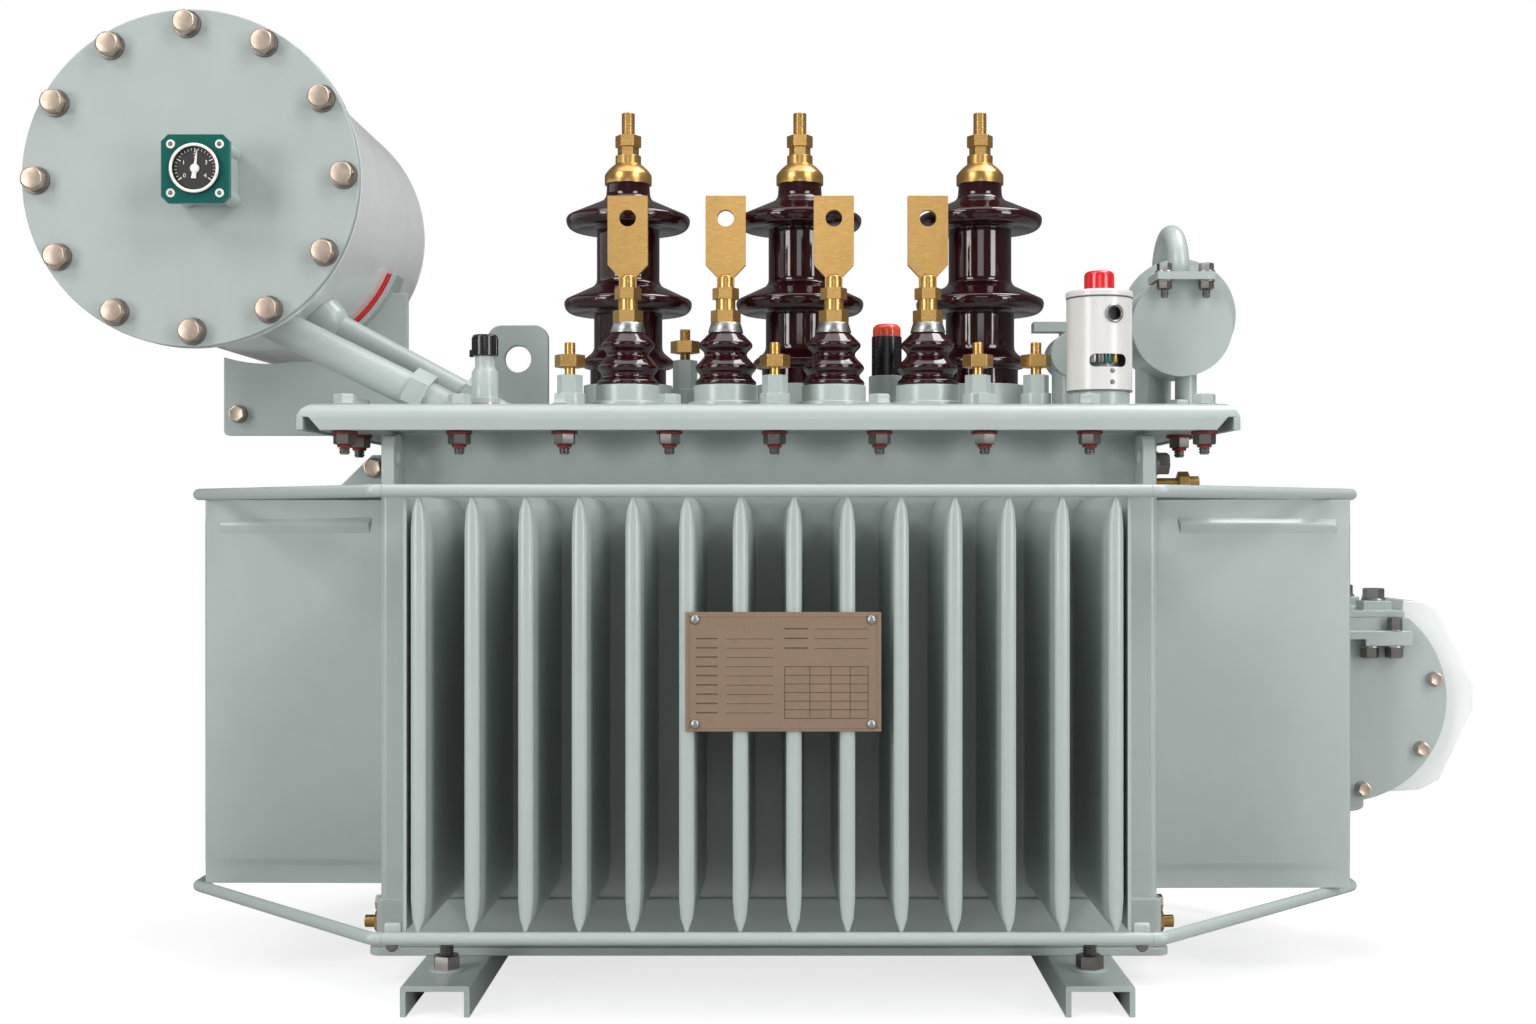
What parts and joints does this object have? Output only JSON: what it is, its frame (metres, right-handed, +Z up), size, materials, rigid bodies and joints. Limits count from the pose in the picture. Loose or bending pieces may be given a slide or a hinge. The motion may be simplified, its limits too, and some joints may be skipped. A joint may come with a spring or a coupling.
{
  "type": "oil-immersed step-down transformer",
  "caption": "Oil-filled step-down transformer with finned tank, conservator drum, tall ribbed high-voltage bushings and drilled low-voltage flags.",
  "frame": {"origin": "on the ground under the middle of the tank, which is the bottom centre of the bounding box", "axes": "+X along the tank from the conservator to the side drum, +Y from the low-voltage side to the high-voltage side, +Z up"},
  "size_m": [1.5274, 0.732, 1.0002],
  "materials": {
    "paint": "satin grey-green enamel",
    "pale_paint": "glossy pale grey enamel",
    "white_paint": "glossy white enamel",
    "porcelain": "gloss maroon-brown glaze",
    "brass": "bright brass",
    "red": "gloss red",
    "orange": "gloss orange-red",
    "black": "black",
    "dark_grey": "dark grey",
    "green": "dark green enamel",
    "bronze": "etched bronze"
  },
  "bodies": {
    "root": {"tank_body": "paint", "tank_floor": "paint", "lid": "paint", "front_fins": "paint", "back_fins": "paint", "left_fins": "paint", "right_fins": "paint", "front_tie_rods": "paint", "back_tie_rods": "paint", "left_tie_rods": "paint", "right_tie_rods": "paint", "left_base_channel": "paint", "right_base_channel": "paint", "tank_lifting_lugs": "paint", "end_gussets": "paint", "lid_lifting_lug": "paint", "conservator_shell": "pale_paint", "conservator_cover": "paint", "conservator_back": "pale_paint", "conservator_bracket": "paint", "conservator_pad": "red", "oil_pipe": "paint", "air_pipe": "paint", "gauge_housing": "pale_paint", "gauge_plate": "green", "gauge_bezel": "white_paint", "hv_collars": "paint", "hv_bushings": "porcelain", "hv_terminals": "brass", "lv_collars": "paint", "lv_bushings": "porcelain", "lv_terminals": "brass", "stud_posts": "paint", "post_studs": "brass", "vent_base": "paint", "vent_body": "black", "vent_dome": "orange", "filler_neck": "paint", "filler_cap": "black", "canister_base": "paint", "canister_shell": "white_paint", "canister_lid": "white_paint", "canister_knob": "red", "tap_changer": "paint", "tap_handle": "paint", "relief_drum": "paint", "relief_gooseneck": "paint", "side_drum": "paint", "side_drum_covers": "paint", "side_drum_hood": "white_paint", "side_drum_clamp": "paint", "side_drum_yoke": "paint", "nameplate": "bronze", "drain_fittings": "brass"}
  },
  "joints": []
}
